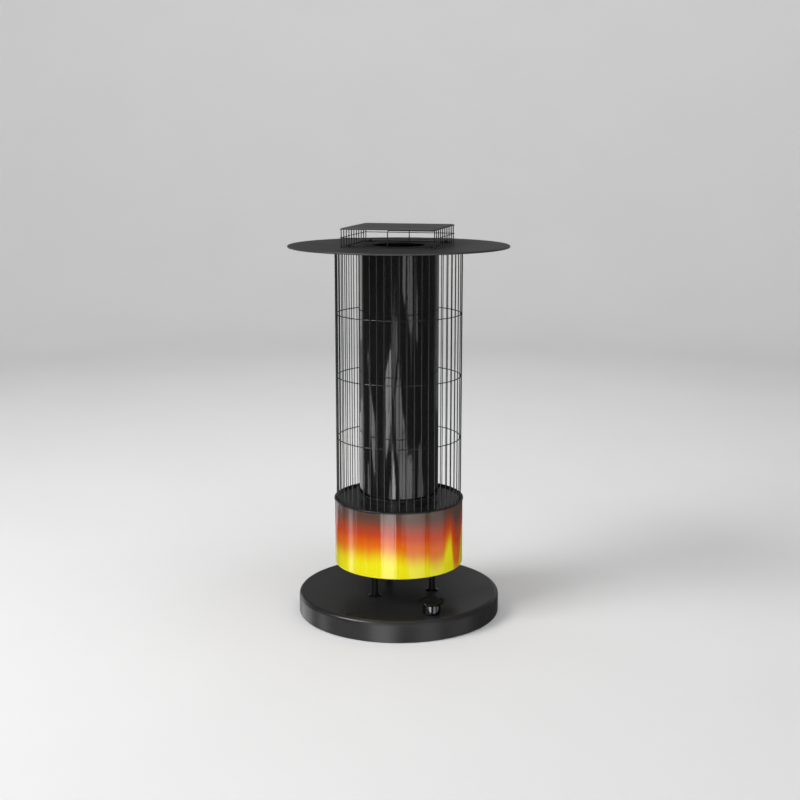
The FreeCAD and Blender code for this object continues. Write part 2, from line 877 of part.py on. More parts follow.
def gasket(low):
    """Flat fibre ring at an end of the tube."""
    return ring(tube_radius - touch_gap, spigot_radius + touch_gap, low, low + gasket_thickness)


def glass_tube():
    """Smoked glass tube with fire-polished outer edges."""
    glass = cylinder(tube_radius, tube_low, tube_top)
    glass = rounded(glass, tube_edge_round, tube_radius, tube_low)
    glass = rounded(glass, tube_edge_round, tube_radius, tube_top)
    return glass.cut(drill(tube_inner_radius, tube_low, tube_top))


def tube_upper_ring():
    """Ring under the deflector that holds the top of the tube."""
    inner = flue_radius + upper_ring_lip
    skirt_low = upper_ring_low - spigot_length
    outline = [
        (inner, upper_ring_low),
        (spigot_inner_radius, upper_ring_low),
        (spigot_inner_radius, skirt_low),
        (spigot_radius, skirt_low),
        (spigot_radius, upper_ring_low),
        (tube_radius + upper_ring_margin, upper_ring_low),
        (tube_radius + upper_ring_margin, deflector_low),
        (inner, deflector_low),
    ]
    return turned(outline)


def element_plate(radius, low, high):
    """Plate with holes for the centre rod, the element leads and the rising air."""
    holes = [drill(centre_rod_radius + touch_gap, low, high)]
    holes += [drill(ceramic_hole_radius, low, high, place) for place in element_places]
    vents = around(element_count, plate_vent_circle_radius, element_angle + 180 / element_count)
    holes += [drill(plate_vent_radius, low, high, place) for place in vents]
    return cut_all(cylinder(radius, low, high), holes)


def element_plate_lower():
    return element_plate(spigot_inner_radius - assembly_gap, lower_plate_low, lower_plate_top)


def element_plate_upper():
    radius = element_circle_radius + ceramic_radius + upper_plate_margin
    return element_plate(radius, upper_plate_low, upper_plate_top)


def element_tubes():
    """Quartz sleeves of the elements."""
    bore = element_radius - element_wall
    sleeves = [ring(element_radius, bore, element_low, element_top, place) for place in element_places]
    return Part.makeCompound(sleeves)


def element_coils():
    """Heating coils, each one unbroken wire."""
    low = element_low + coil_end_inset
    high = element_top - coil_end_inset
    pitch = (high - low) / coil_turns
    print("coil gap to itself", round(pitch - 2 * coil_wire_radius, 2))
    paths = [helix(coil_mean_radius, pitch, 2 * coil_turns, low, place) for place in element_places]
    return Part.makeCompound([round_bar(path, coil_wire_radius) for path in paths])


def element_caps():
    """Ceramic caps on both ends of the elements."""
    seat = element_radius + touch_gap
    seat_depth = ceramic_height - ceramic_floor
    caps = []
    for place in element_places:
        for plate_face, up in ((lower_plate_top, 1), (upper_plate_low, -1)):
            mouth = plate_face + up * ceramic_height
            low, high = sorted((plate_face, mouth))
            seat_end = mouth - up * seat_depth
            seat_low, seat_high = sorted((seat_end, mouth + up * overrun))
            cap = cylinder(ceramic_radius, low, high, place)
            hole = drill(ceramic_hole_radius, low, high, place)
            caps.append(cut_all(cap, [cylinder(seat, seat_low, seat_high, place), hole]))
    return Part.makeCompound(caps)


def reflector_core():
    """Drawn column with a hollow behind each element."""
    column = cylinder(reflector_reach, lower_plate_top, upper_plate_low)
    low = lower_plate_top
    high = upper_plate_low
    hollows = [drill(reflector_hollow_radius, low, high, place) for place in element_places]
    return cut_all(column, hollows + [drill(reflector_bore_radius, low, high)])


def centre_rod():
    """Rod that clamps the plates on to the reflector."""
    low = lower_plate_low - rod_nut_height - rod_stub
    return cylinder(centre_rod_radius, low, upper_plate_top + rod_nut_height + rod_stub)


def rod_nuts():
    bore = centre_rod_radius + touch_gap
    lower = nut(rod_nut_width, bore, lower_plate_low - rod_nut_height, lower_plate_low)
    upper = nut(rod_nut_width, bore, upper_plate_top, upper_plate_top + rod_nut_height)
    return Part.makeCompound([lower, upper])


def element_leads():
    """Leads from the terminal block up to the elements' lower caps."""
    leads = []
    for start, place in zip(terminal_places(), element_places[1:2] + element_places[:1] + element_places[2:]):
        end = Vector(place.x, place.y, lower_plate_top)
        climb = (end.z - start.z) * lead_climb_share
        swing = (end.z - start.z) * lead_swing_share
        points = [start, start + Vector(0, 0, climb), Vector(end.x, end.y, start.z + swing), end]
        leads.append(round_bar(wire_through(points, lead_bend), lead_radius))
    return Part.makeCompound(leads)


def riser_cable():
    """Cable from the rotary switch through the hollow rear leg to the terminal block."""
    foot = leg_places[1]
    corner = Vector(foot.x, foot.y, lead_level)
    switch = Vector(knob_place.x, knob_place.y, lead_level)
    start = switch + (corner - switch).normalize() * (switch_radius + assembly_gap)
    top_corner = Vector(foot.x, foot.y, drum_floor_low + cable_rise)
    end = Vector(foot.x, terminal_width / 2 + touch_gap, top_corner.z)
    return round_bar(wire_through([start, corner, top_corner, end], cable_bend), cable_radius)


def base_leads():
    """Leads from the inlet to the tip-over switch and on to the rotary switch."""
    pin_x, pin_rise = pin_places[0]
    tail = Vector(pin_x, base_radius - inlet_depth - pin_tail - touch_gap, inlet_middle + pin_rise)
    level = (tip_switch_low + tip_switch_top) / 2
    entry = Vector((tip_x + lever_hinge_x) * plunger_lead_share, tip_switch_width / 2 + touch_gap, level)
    ahead = Vector(pin_x, tail.y - inlet_lead_step, tail.z)
    beside = Vector(entry.x, ahead.y * plunger_lead_share, level)
    feed = wire_through([tail, ahead, beside, entry], lead_bend)
    leaving = Vector(lever_hinge_x + tip_switch_end + touch_gap, 0, level)
    step = Vector(leaving.x + inlet_lead_step, 0, level)
    arrival = Vector(knob_place.x - switch_radius - assembly_gap, knob_place.y, lead_level)
    turn = Vector(0, knob_place.y, lead_level)
    onward = wire_through([leaving, step, turn, arrival], lead_bend)
    return Part.makeCompound([round_bar(feed, lead_radius), round_bar(onward, lead_radius)])


def cage_wires():
    """Upright wires of the cage, from the lid to the deflector."""
    places = around(cage_wire_count, cage_radius, cage_first_angle)
    return Part.makeCompound([cylinder(cage_wire_radius, lid_top, deflector_low, place) for place in places])


def cage_ring(height):
    """Hoop inside the upright wires."""
    radius = cage_radius - 2 * cage_wire_radius - running_gap
    return Part.makeTorus(radius, cage_wire_radius, Vector(0, 0, height))


def cage_lugs():
    """Threaded lugs on the cage's top hoop that the deflector is screwed to."""
    outer = cage_radius - 3 * cage_wire_radius - running_gap - touch_gap
    low = deflector_low - lug_thickness
    inner = disc_screw_circle - lug_inner_margin
    thread = disc_screw_radius + touch_gap
    lugs = []
    for step, place in enumerate(disc_screw_places):
        lug = strip(lug_width, inner, cage_radius, low, deflector_low, 45 + 90 * step)
        lug = lug.common(cylinder(outer, low, deflector_low))
        lugs.append(lug.cut(drill(thread, low, deflector_low, place)))
    return Part.makeCompound(lugs)


def deflector_disc():
    """Wide flat disc with the flue hole in its middle."""
    disc = cylinder(deflector_radius, deflector_low, deflector_top)
    for height in (deflector_low, deflector_top):
        disc = rounded(disc, deflector_edge_round, deflector_radius, height)
    screw_hole = disc_screw_radius + touch_gap
    holes = [drill(screw_hole, deflector_low, deflector_top, place) for place in disc_screw_places]
    return cut_all(disc, holes + [drill(flue_radius, deflector_low, deflector_top)])


def disc_screws():
    """Domed screws through the guard's tabs, the deflector and the lugs."""
    head_low = deflector_top + tab_thickness
    head_top = head_low + disc_screw_head_height
    screws = []
    for place in disc_screw_places:
        head = cylinder(disc_screw_head_radius, head_low, head_top, place)
        head = rounded(head, disc_screw_head_height / 2, disc_screw_head_radius, head_top)
        shank = cylinder(disc_screw_radius, deflector_low - lug_thickness - disc_screw_stub, head_low, place)
        screws.append(fused([head, shank]))
    return Part.makeCompound(screws)


def guard_tabs():
    """Corner tabs that hold the guard down on the deflector."""
    inner = disc_screw_circle - tab_inner_margin
    outer = guard_half * math.sqrt(2) - guard_wire_radius - touch_gap
    high = deflector_top + tab_thickness
    corner_cut = outer - tab_width / 2
    free_half = guard_half - guard_wire_radius
    inside = block(-free_half, free_half, -free_half, free_half, deflector_top, high)
    screw_hole = disc_screw_radius + touch_gap
    tabs = []
    for step, place in enumerate(disc_screw_places):
        angle = 45 + 90 * step
        tab = strip(tab_width, inner, outer, deflector_top, high, angle)
        wedge = strip(tab_width * 2, corner_cut, outer + overrun, deflector_top, high, angle)
        tab = tab.cut(wedge.cut(inside))
        tabs.append(tab.cut(drill(screw_hole, deflector_top, high, place)))
    return Part.makeCompound(tabs)


def guard_rails():
    """Three square hoops of bent wire outside the posts."""
    low = deflector_top + guard_rail_radius
    middle = deflector_top + guard_rise * guard_middle_share
    high = guard_plate_low
    straight = rail_half - rail_bend
    rails = []
    for z in (low, middle, high):
        pieces = []
        for step in range(4):
            start = Vector(-straight, -rail_half, z)
            run = Part.makeCylinder(guard_rail_radius, 2 * straight, start, Vector(1, 0, 0))
            bend = Part.makeTorus(rail_bend, guard_rail_radius, Vector(), Vector(0, 0, 1), -180, 180, 90)
            bend.rotate(Vector(), Vector(0, 0, 1), -90)
            bend.translate(Vector(straight, -straight, z))
            for piece in (run, bend):
                pieces.append(piece.rotate(Vector(), Vector(0, 0, 1), 90 * step))
        rails.append(fused(pieces))
    return Part.makeCompound(rails)


def guard_posts():
    """Upright wires of the guard: close on the left and right, and one behind."""
    places = [Vector(0, guard_half, 0)]
    for side in (-guard_half, guard_half):
        for step in range(guard_post_count):
            along = guard_side * step / (guard_post_count - 1) - guard_half
            places.append(Vector(side, along, 0))
    posts = [cylinder(guard_wire_radius, deflector_top, guard_plate_low, place) for place in places]
    return Part.makeCompound(posts)


def guard_front_wire():
    """Bent wire: the post in front, turned to the right under the edge of the plate."""
    level = guard_plate_low - guard_wire_radius - touch_gap
    end = guard_half - guard_wire_radius - touch_gap
    foot = Vector(0, -guard_half, deflector_top)
    corner = Vector(0, -guard_half, level)
    path = wire_through([foot, corner, Vector(end, -guard_half, level)], guard_front_bend)
    return round_bar(path, guard_wire_radius)


def guard_plate():
    """Flat square plate over the flue, on top of the posts."""
    half = guard_half + guard_plate_margin
    plate = block(-half, half, -half, half, guard_plate_low, guard_plate_low + guard_plate_thickness)
    corners = [edge for edge in plate.Edges if edge.BoundBox.ZLength > guard_plate_thickness / 2]
    return plate.makeFillet(guard_plate_round, corners)


pieces = {
    "base_cover": base_cover(),
    "base_plate": base_plate(),
    "base_feet": base_feet(),
    "base_screws": base_screws(),
    "ballast_ring": ballast_ring(),
    "power_inlet": power_inlet(),
    "inlet_pins": inlet_pins(),
    "rotary_switch": rotary_switch(),
    "switch_nut": switch_nut(),
    "knob_shaft": knob_shaft(),
    "knob": knob(),
    "knob_cap": knob_cap(),
    "plunger_bush": plunger_bush(),
    "tip_plunger": tip_plunger(),
    "tip_spring": tip_spring(),
    "tip_switch_bracket": tip_switch_bracket(),
    "tip_switch": tip_switch(),
    "tip_lever": tip_lever(),
    "base_leads": base_leads(),
    "riser_cable": riser_cable(),
    "leg_flanges": leg_flanges(),
    "leg_nuts": leg_nuts(),
    "drum_shell": drum_shell(),
    "drum_floor": drum_floor(),
    "drum_lid": drum_lid(),
    "drum_tie_rods": drum_tie_rods(),
    "drum_tie_nuts": drum_tie_nuts(),
    "terminal_block": terminal_block(),
    "thermal_cutout": thermal_cutout(),
    "element_leads": element_leads(),
    "tube_seat": tube_seat(),
    "tube_gasket_lower": gasket(ledge_top),
    "glass_tube": glass_tube(),
    "tube_gasket_upper": gasket(tube_top),
    "tube_upper_ring": tube_upper_ring(),
    "element_plate_lower": element_plate_lower(),
    "element_plate_upper": element_plate_upper(),
    "element_tubes": element_tubes(),
    "element_coils": element_coils(),
    "element_caps": element_caps(),
    "reflector_core": reflector_core(),
    "centre_rod": centre_rod(),
    "rod_nuts": rod_nuts(),
    "cage_wires": cage_wires(),
    "cage_ring_bottom": cage_ring(lid_top + cage_wire_radius),
    "cage_ring_top": cage_ring(deflector_low - cage_wire_radius),
    "cage_lugs": cage_lugs(),
    "deflector_disc": deflector_disc(),
    "disc_screws": disc_screws(),
    "guard_tabs": guard_tabs(),
    "guard_rails": guard_rails(),
    "guard_posts": guard_posts(),
    "guard_front_wire": guard_front_wire(),
    "guard_plate": guard_plate(),
}
for name, place in zip(leg_names, leg_places):
    pieces[name] = leg(place)
for step in range(cage_ring_count):
    height = lid_top + cage_first_ring + cage_ring_pitch * step
    pieces[f"cage_ring_{step + 1}"] = cage_ring(height)

for name, shape in pieces.items():
    shape.exportStep(f"parts/{name}.step")
    print(name, len(shape.Solids), round(shape.Volume), shape.isValid())
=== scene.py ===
# %% [markdown]
# # Quartz heater: its looks
# The heater stands on a round weighted base with a control knob. Short legs carry a drum with
# a flame print, and above it a smoked glass tube stands inside a cage of thin black wires under
# a wide deflector disc with a square flue guard.
# The imported CAD model is the frame. It is loaded first.

import json
import math

import bpy
from mathutils import Matrix, Vector


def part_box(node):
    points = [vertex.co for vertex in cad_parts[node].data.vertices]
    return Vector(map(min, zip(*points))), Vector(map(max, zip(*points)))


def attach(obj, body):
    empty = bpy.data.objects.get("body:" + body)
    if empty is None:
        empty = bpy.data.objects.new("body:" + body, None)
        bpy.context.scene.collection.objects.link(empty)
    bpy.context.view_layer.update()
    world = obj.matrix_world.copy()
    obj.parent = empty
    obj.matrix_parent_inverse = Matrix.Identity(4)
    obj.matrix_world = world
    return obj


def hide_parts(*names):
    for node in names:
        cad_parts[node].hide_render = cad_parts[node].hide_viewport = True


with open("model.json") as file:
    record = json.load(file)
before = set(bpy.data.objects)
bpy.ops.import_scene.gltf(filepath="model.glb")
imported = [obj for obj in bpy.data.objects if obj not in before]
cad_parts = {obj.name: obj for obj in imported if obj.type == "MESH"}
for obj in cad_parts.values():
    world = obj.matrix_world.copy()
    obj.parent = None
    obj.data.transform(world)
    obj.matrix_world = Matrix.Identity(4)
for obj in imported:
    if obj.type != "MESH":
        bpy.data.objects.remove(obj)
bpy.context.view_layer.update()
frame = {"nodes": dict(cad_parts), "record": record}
nodes = frame["nodes"]

# %% [markdown]
# ## Shader values
# Every finish of the heater is worked out by formulas: grain, wear, flames. A formula could be
# wired node by node, which is hard to read.
# So a socket is wrapped in a small class that takes part in sums like a number, and any other
# node that a formula needs is made by one method.

# %% Shader values


class Field:
    """A shader socket that takes part in sums like a number."""

    def __init__(self, tree, socket):
        self.tree = tree
        self.socket = socket

    def feed(self, target):
        self.tree.links.new(self.socket, target)

    def node(self, kind, settings, sockets, output=0):
        """Any node: its settings first, then the values of its sockets by name or number."""
        made = self.tree.nodes.new(kind)
        for name, value in settings.items():
            setattr(made, name, value)
        for key, value in sockets.items():
            if isinstance(value, Field):
                value.feed(made.inputs[key])
            else:
                made.inputs[key].default_value = value
        return Field(self.tree, made.outputs[output])

    def maths(self, operation, first, second=0.0):
        return self.node("ShaderNodeMath", {"operation": operation}, {0: first, 1: second})

    def __add__(self, other):
        return self.maths("ADD", self, other)

    def __radd__(self, other):
        return self.maths("ADD", other, self)

    def __sub__(self, other):
        return self.maths("SUBTRACT", self, other)

    def __rsub__(self, other):
        return self.maths("SUBTRACT", other, self)

    def __mul__(self, other):
        return self.maths("MULTIPLY", self, other)

    def __rmul__(self, other):
        return self.maths("MULTIPLY", other, self)

    def __truediv__(self, other):
        return self.maths("DIVIDE", self, other)

    def __rtruediv__(self, other):
        return self.maths("DIVIDE", other, self)

    def sine(self):
        return self.maths("SINE", self)

    def rise(self, low, high):
        """0 below one value, 1 above another, and smooth between them."""
        ends = {"Value": self, "From Min": low, "From Max": high}
        return self.node("ShaderNodeMapRange", {"interpolation_type": "SMOOTHSTEP"}, ends)

    def blend(self, colour, other_colour):
        """The first colour where this is 0 and the other where it is 1."""
        return self.node("ShaderNodeMix", {"data_type": "RGBA"}, {0: self, 6: colour, 7: other_colour}, 2)

    def stretched(self, x, y, z):
        """These coordinates times a factor along each axis."""
        settings = {"operation": "MULTIPLY"}
        return self.node("ShaderNodeVectorMath", settings, {0: self, 1: (x, y, z)})

    def split(self):
        """The X, Y and Z of these coordinates."""
        first = self.node("ShaderNodeSeparateXYZ", {}, {0: self})
        return [Field(self.tree, socket) for socket in first.socket.node.outputs]

    def from_axis(self, axis_x=0.0, axis_y=0.0):
        """How far these coordinates lie from an upright axis."""
        x, y = self.split()[:2]
        across = x - axis_x
        along = y - axis_y
        return self.maths("SQRT", across * across + along * along)

    def noise(self, scale, detail=3.0):
        """Cloudy noise at these coordinates, about 0 to 1."""
        return self.node("ShaderNodeTexNoise", {}, {"Vector": self, "Scale": scale, "Detail": detail})

    def bump(self, depth):
        """A normal bent by this height, which is worth a depth in metres."""
        return self.node("ShaderNodeBump", {}, {"Height": self, "Distance": depth})


print("shader values ready")

# %% [markdown]
# ## Finishes
# A finish is what one kind of surface on the heater looks like: a paint, a metal, a glass. Each
# could be wired up on its own, with the same few lines every time.
# A second small class does those lines once: it makes the material, keeps its surface shader and
# the coordinates of the piece, and sets sockets by their names.

# %% Finishes


class Finish:
    """A material with its surface shader and its object coordinates."""

    def __init__(self, slot):
        self.material = bpy.data.materials.new(slot)
        self.material.use_nodes = True
        tree = self.material.node_tree
        self.surface = tree.nodes["Principled BSDF"]
        self.place = Field(tree, tree.nodes.new("ShaderNodeTexCoord").outputs["Object"])

    def set(self, **values):
        """Socket values by name, with underscores for the spaces in a socket's name."""
        for name, value in values.items():
            socket = self.surface.inputs[name.replace("_", " ")]
            if isinstance(value, Field):
                value.feed(socket)
            else:
                socket.default_value = value


def grey(level, alpha=1.0):
    return (level, level, level, alpha)


finishes = {}
print("finishes so far", len(finishes))

# %% [markdown]
# ## Rounded outlines
# The tube, the drum wall and the knob have no sharp corners, and a bright line of light runs
# along each rounded edge. A bevel modifier could round them after modelling.
# Here the outline itself is rounded first, corner by corner, because each corner needs its own
# rounding.

# %% Rounded outlines
MM = 0.001
ROUND_STEPS = 5
LONG_EDGE = 10 * MM
SUPPORT = 0.6 * MM


def softened(corners):
    """Points of a closed outline whose corners are (radius, height, rounding).

    A long edge gets a point close to each rounding, so that its shading stays flat.
    """
    points = []
    for index, (radius, height, rounding) in enumerate(corners):
        corner = Vector((radius, height))
        before = Vector(corners[index - 1][:2]) - corner
        after = Vector(corners[(index + 1) % len(corners)][:2]) - corner
        half_angle = before.angle(after) / 2
        reach = rounding / math.tan(half_angle)
        bisector = (before.normalized() + after.normalized()).normalized()
        centre = corner + bisector * (rounding / math.sin(half_angle))
        start = corner + before.normalized() * reach - centre
        end = corner + after.normalized() * reach - centre
        if before.length > LONG_EDGE:
            points.append(tuple(corner + before.normalized() * (reach + SUPPORT)))
        for step in range(ROUND_STEPS + 1):
            spoke = start.lerp(end, step / ROUND_STEPS)
            points.append(tuple(centre + spoke.normalized() * rounding))
        if after.length > LONG_EDGE:
            points.append(tuple(corner + after.normalized() * (reach + SUPPORT)))
    return points


print("points on a rounded corner", ROUND_STEPS + 1)

# %% [markdown]
# ## Turned pieces
# The same three pieces are round about an upright axis. Each could be spun from an edge or drawn
# up ring by ring.
# Drawing a ring along an outline keeps every point under control, so a ring is extruded and
# resized from point to point until it meets itself.

# %% Turned pieces
MERGE_DISTANCE = 0.001 * MM
SMOOTH_ANGLE = math.radians(40)


def turned(name, points, segments):
    """Draw a ring along a closed outline of (radius, height) points."""
    bpy.ops.object.select_all(action="DESELECT")
    radius, height = points[0]
    bpy.ops.mesh.primitive_circle_add(vertices=segments, radius=radius, location=(0, 0, height))
    piece = bpy.context.object
    piece.name = name
    bpy.ops.object.transform_apply(location=True)
    bpy.ops.object.mode_set(mode="EDIT")
    bpy.ops.mesh.select_all(action="SELECT")
    for next_radius, next_height in points[1:] + points[:1]:
        lift = (0, 0, next_height - height)
        bpy.ops.mesh.extrude_region_move(TRANSFORM_OT_translate={"value": lift})
        growth = next_radius / radius
        bpy.ops.transform.resize(value=(growth, growth, 1), center_override=(0, 0, next_height))
        radius, height = next_radius, next_height
    close_up()
    bpy.ops.object.shade_smooth_by_angle(angle=SMOOTH_ANGLE)
    return piece


def close_up():
    """Merge doubles, turn the faces outward and leave edit mode."""
    bpy.ops.mesh.select_all(action="SELECT")
    bpy.ops.mesh.remove_doubles(threshold=MERGE_DISTANCE)
    bpy.ops.mesh.normals_make_consistent(inside=False)
    bpy.ops.object.mode_set(mode="OBJECT")


def stands_for(piece, body, node):
    """Tie a piece to the body it moves with, and hide the CAD node it shows."""
    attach(piece, body)
    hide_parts(node)
    print(piece.name, "stands for", node, "with", len(piece.data.polygons), "faces")


def round_size(node):
    """Radius, lowest and highest point of a round CAD node."""
    low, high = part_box(node)
    return (high.x - low.x) / 2, low.z, high.z


print("corners smoother than", round(math.degrees(SMOOTH_ANGLE)), "degrees are shaded round")

# %% [markdown]
# ## Glass tube
# The heating elements stand inside a tall tube of smoked glass whose ends are melted round so
# that they don't chip. A plain cylinder would show sharp dark rims.
# So the wall is drawn as an outline with both ends rounded over the whole wall.

# %% Glass tube
TUBE_WALL = 3.5 * MM
TUBE_ROUND = 1.575 * MM
TUBE_SEGMENTS = 160
tube_radius, tube_low, tube_high = round_size("glass_tube")
tube_bore = tube_radius - TUBE_WALL
tube_corners = [
    (tube_bore, tube_low, TUBE_ROUND),
    (tube_radius, tube_low, TUBE_ROUND),
    (tube_radius, tube_high, TUBE_ROUND),
    (tube_bore, tube_high, TUBE_ROUND),
]
tube = turned("tube_glass", softened(tube_corners), TUBE_SEGMENTS)
stands_for(tube, "heater", "glass_tube")

# %% [markdown]
# ## Drum wall
# The printed band is a rolled sheet whose lower edge is dressed round, and that edge catches
# the light as a thin bright line. A sheet cut off square wouldn't do that.
# The outline is the sheet's section, with both corners of its foot rounded.

# %% Drum wall
DRUM_WALL = 1.2 * MM
DRUM_FOOT_ROUND = 0.55 * MM
DRUM_SEGMENTS = 192
drum_radius, drum_low, drum_high = round_size("drum_shell")
drum_bore = drum_radius - DRUM_WALL
drum_corners = [
    (drum_bore, drum_low, DRUM_FOOT_ROUND),
    (drum_radius, drum_low, DRUM_FOOT_ROUND),
    (drum_radius, drum_high, 0),
    (drum_bore, drum_high, 0),
]
drum = turned("drum_wall", softened(drum_corners), DRUM_SEGMENTS)
stands_for(drum, "heater", "drum_shell")

# %% [markdown]
# ## Knob
# The control knob rises straight from a rounded foot to a wide rim, and its polished side mirrors
# its surroundings in stripes. The rim is bevelled inward, so that it mirrors the dark base.
# The outline goes round the whole section: foot, side, neck, rim, the seat of the cap and the
# bore of the shaft.

# %% Knob
KNOB_SEGMENTS = 128
KNOB_FOOT = 13.4 * MM
KNOB_FOOT_ROUND = 2.4 * MM
KNOB_NECK_DROP = 2.0 * MM
KNOB_NECK_ROUND = 0.8 * MM
KNOB_RIM_DEPTH = 2.2 * MM
KNOB_RIM_BEVEL = 1.2 * MM
KNOB_RIM_ROUND = 0.12 * MM
KNOB_SEAT_DEPTH = 1.6 * MM
KNOB_SEAT_GAP = 0.1 * MM
KNOB_BORE = 3.1 * MM
knob_radius, knob_low, knob_high = round_size("knob")
knob_seat = round_size("knob_cap")[0] + KNOB_SEAT_GAP
knob_seat_low = knob_high - KNOB_SEAT_DEPTH
knob_rim_low = knob_high - KNOB_RIM_DEPTH
knob_corners = [
    (KNOB_FOOT, knob_low, KNOB_FOOT_ROUND),
    (KNOB_FOOT, knob_rim_low - KNOB_NECK_DROP, KNOB_NECK_ROUND),
    (knob_radius - KNOB_RIM_BEVEL, knob_rim_low, KNOB_RIM_ROUND),
    (knob_radius, knob_high, KNOB_RIM_ROUND),
    (knob_seat, knob_high, KNOB_RIM_ROUND),
    (knob_seat, knob_seat_low, 0),
    (KNOB_BORE, knob_seat_low, 0),
    (KNOB_BORE, knob_low, 0),
]
knob_piece = turned("knob_body", softened(knob_corners), KNOB_SEGMENTS)
knob_box_low, knob_box_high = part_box("knob")
knob_middle = (knob_box_low + knob_box_high) / 2
bpy.ops.object.mode_set(mode="EDIT")
bpy.ops.mesh.select_all(action="SELECT")
bpy.ops.transform.translate(value=(knob_middle.x, knob_middle.y, 0))
bpy.ops.object.mode_set(mode="OBJECT")
stands_for(knob_piece, "knob", "knob")

# %% [markdown]
# ## Weld bead
# Each upright wire is spot-welded to the hoops inside it, and every weld leaves a small squashed
# bead between the two wires. Without beads the wires look laid side by side.
# A bead is shaped from a small ball with few faces, because there are hundreds of them.

# %% Weld bead
BEAD_RADIUS = 0.7 * MM
BEAD_DETAIL = 2
BEAD_SQUASH = (0.9, 0.9, 1.5)
BEAD_SMOOTHING = 0.3


def bead(name, place):
    """A squashed weld bead at a place."""
    bpy.ops.object.select_all(action="DESELECT")
    bpy.ops.mesh.primitive_ico_sphere_add(subdivisions=BEAD_DETAIL, radius=BEAD_RADIUS, location=place)
    piece = bpy.context.object
    piece.name = name
    bpy.ops.object.mode_set(mode="EDIT")
    bpy.ops.mesh.select_all(action="SELECT")
    bpy.ops.transform.resize(value=BEAD_SQUASH, center_override=place)
    bpy.ops.mesh.vertices_smooth(factor=BEAD_SMOOTHING)
    bpy.ops.object.mode_set(mode="OBJECT")
    bpy.ops.object.transform_apply(location=True)
    bpy.ops.object.shade_smooth()
    return piece


print("bead radius in millimetres", BEAD_RADIUS / MM)

# %% [markdown]
# ## Welds of the cage
# There is a weld wherever a wire crosses a hoop. Every bead could be placed by a loop.
# It is quicker to place one bead on each hoop, copy it round by an array about the axis, and
# join the rows.

# %% Welds of the cage
WIRE_COUNT = 54
CAGE_RADIUS = 91.4 * MM
WIRE_RADIUS = 0.65 * MM
FIRST_WIRE = math.radians(4.0)
HOOPS = ("cage_ring_bottom", "cage_ring_1", "cage_ring_2", "cage_ring_3", "cage_ring_top")


def joined(pieces, name):
    """One piece made of several."""
    bpy.ops.object.select_all(action="DESELECT")
    for piece in pieces:
        piece.select_set(True)
    bpy.context.view_layer.objects.active = pieces[0]
    bpy.ops.object.join()
    pieces[0].name = name
    return pieces[0]


bpy.ops.object.empty_add(rotation=(0, 0, 2 * math.pi / WIRE_COUNT))
one_step = bpy.context.object
weld_radius = CAGE_RADIUS - WIRE_RADIUS
weld_rows = []
for hoop in HOOPS:
    hoop_low, hoop_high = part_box(hoop)
    weld_height = (hoop_low.z + hoop_high.z) / 2
    weld_place = (weld_radius * math.cos(FIRST_WIRE), weld_radius * math.sin(FIRST_WIRE), weld_height)
    row = bead("bead_" + hoop, weld_place)
    array = row.modifiers.new("round the axis", "ARRAY")
    array.count = WIRE_COUNT
    array.use_relative_offset = False
    array.use_object_offset = True
    array.offset_object = one_step
    bpy.ops.object.modifier_apply(modifier=array.name)
    weld_rows.append(row)
cage_welds = joined(weld_rows, "cage_welds")
bpy.data.objects.remove(one_step)
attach(cage_welds, "heater")
print("cage_welds", len(cage_welds.data.polygons), "faces")

# %% [markdown]
# ## Coat of paint
# Most of the metal is coated black, from satin powder coat to gloss paint. One flat colour would
# look like paper.
# So the recipe of a coat has a faint cloudy tone, a fine grain that bends the light, and a sheen that varies
# a little. Where a piece lies in shade, that shade is painted on as a dull black.

# %% Coat of paint
COAT_CLOUDS = 14.0
CLOUD_SHEEN = 0.12
GRAIN_SHEEN = 0.06
# Painted shade: the dull black colour and roughness given to surfaces in the flue's shade
SHADE_BLACK = grey(0.004)
SHADE_ROUGHNESS = 0.95


def coat(slot, tone, shine, grain_scale, grain_depth, cloud=0.15, painted_shade=None):
    """A coat of paint: grey tone, roughness, grain per metre, grain depth, and where shade is painted on it.
    """
    finish = Finish(slot)
    clouds = finish.place.noise(COAT_CLOUDS, detail=4.0)
    grain = finish.place.noise(grain_scale, detail=2.0)
    light = grey(tone * (1 + cloud))
    dark = grey(tone * (1 - cloud))
    colour = clouds.blend(dark, light)
    roughness = shine + CLOUD_SHEEN * (clouds - 0.5) + GRAIN_SHEEN * (grain - 0.5)
    # Painted shade darkens the coat to dull black where the mask is 1
    if painted_shade:
        shade_mask = painted_shade(finish.place)
        colour = shade_mask.blend(colour, SHADE_BLACK)
        roughness = roughness + shade_mask * (SHADE_ROUGHNESS - shine)
    finish.set(Base_Color=colour, Roughness=roughness, Normal=grain.bump(grain_depth))
    finishes[slot] = finish
    return finish


# The roughness of the painted shade in the flue
print("burnt roughness", SHADE_ROUGHNESS)

# %% [markdown]
# ## Painted metal
# The base, the disc, the guard, the cage, the legs and the drum's black parts each have their
# own coat. They could share one, but the disc is greyer than the cage and duller than the legs.
# The flue's cut edge and the ring under it lie in shade, which is painted on them as a dull black, and a
# mask by radius or height picks them.

# %% Painted metal
FLUE_RADIUS = 37.3 * MM
RING_HEIGHT = 500 * MM
# How softly the painted shade in the flue fades out
SHADE_BORDER = 0.4 * MM


def flue_edge_shade(place):
    """Painted shade: 1 on the cut edge of the flue and 0 on the disc round it."""
    return 1 - place.from_axis().rise(FLUE_RADIUS, FLUE_RADIUS + SHADE_BORDER)


def flue_ring_shade(place):
    """Painted shade: 1 on the ring under the flue and 0 on the drum far below it."""
    height = place.split()[2]
    return height.rise(RING_HEIGHT, RING_HEIGHT + SHADE_BORDER)


def base_paint():
    coat("base_paint", tone=0.017, shine=0.3, grain_scale=900.0, grain_depth=0.03 * MM)


